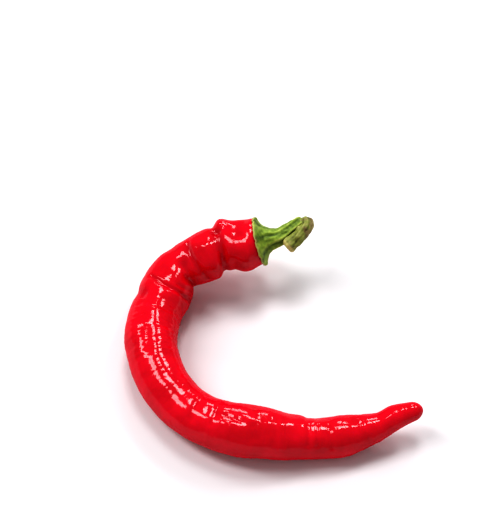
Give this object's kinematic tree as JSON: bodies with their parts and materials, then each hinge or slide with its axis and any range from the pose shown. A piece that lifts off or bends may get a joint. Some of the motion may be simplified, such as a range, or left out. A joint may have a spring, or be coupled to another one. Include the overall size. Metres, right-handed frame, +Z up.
{
  "type": "chilli pepper",
  "caption": "Long red chilli pepper with a ribbed green stalk, curled in a C and lying on its side, with a glossy, creased skin.",
  "frame": {"origin": "on the surface the pepper lies on, under the middle of its outline", "axes": "+X along the longest extent, from the round back of the curl to the tip; +Y towards the stalk; +Z up"},
  "size_m": [0.1046, 0.0917, 0.0296],
  "materials": {
    "pod_skin": "smooth, waxy and glossy red skin",
    "stalk_skin": "matt green stalk, brown where it was picked"
  },
  "bodies": {
    "root": {"pod": "pod_skin", "stalk": "stalk_skin"}
  },
  "joints": []
}
